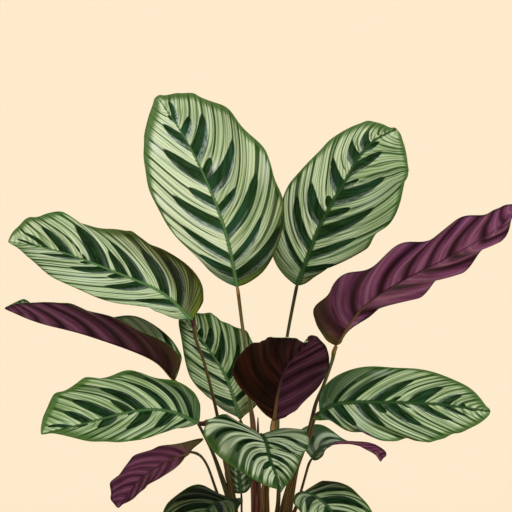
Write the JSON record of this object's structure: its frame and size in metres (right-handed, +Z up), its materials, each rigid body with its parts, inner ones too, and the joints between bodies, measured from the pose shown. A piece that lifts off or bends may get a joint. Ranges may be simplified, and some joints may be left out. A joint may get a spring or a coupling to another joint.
{
  "type": "potted peacock plant",
  "caption": "Potted peacock plant: waved green leaves with dark feather markings and purple undersides on long slender stems, in a plain tapered pot.",
  "frame": {"origin": "centre of the pot's flat underside, on the surface it stands on", "axes": "+Z up, -Y towards the viewer who sees the leaves' broad spread, +X to that viewer's right"},
  "size_m": [0.5112, 0.2664, 0.6123],
  "materials": {
    "leaf": "satin leaf: pale green with dark green feathers above, purple below",
    "stem": "smooth olive to maroon brown",
    "soil": "dark crumbly potting soil",
    "pot": "plain matt terracotta-coloured plastic"
  },
  "bodies": {
    "root": {"leaf_upper_left": "leaf", "leaf_upper_right": "leaf", "leaf_left_high": "leaf", "leaf_left_purple": "leaf", "leaf_left_low": "leaf", "leaf_left_drooping": "leaf", "leaf_centre_back": "leaf", "leaf_centre_purple": "leaf", "leaf_right_purple": "leaf", "leaf_right_mid": "leaf", "leaf_front": "leaf", "leaf_right_small": "leaf", "leaf_front_left": "leaf", "leaf_front_right": "leaf", "leaf_young": "leaf", "leaf_rolled": "leaf", "shoot_left": "stem", "shoot_centre": "stem", "shoot_centre_right": "stem", "shoot_right": "stem", "soil": "soil", "pot": "pot"}
  },
  "joints": []
}
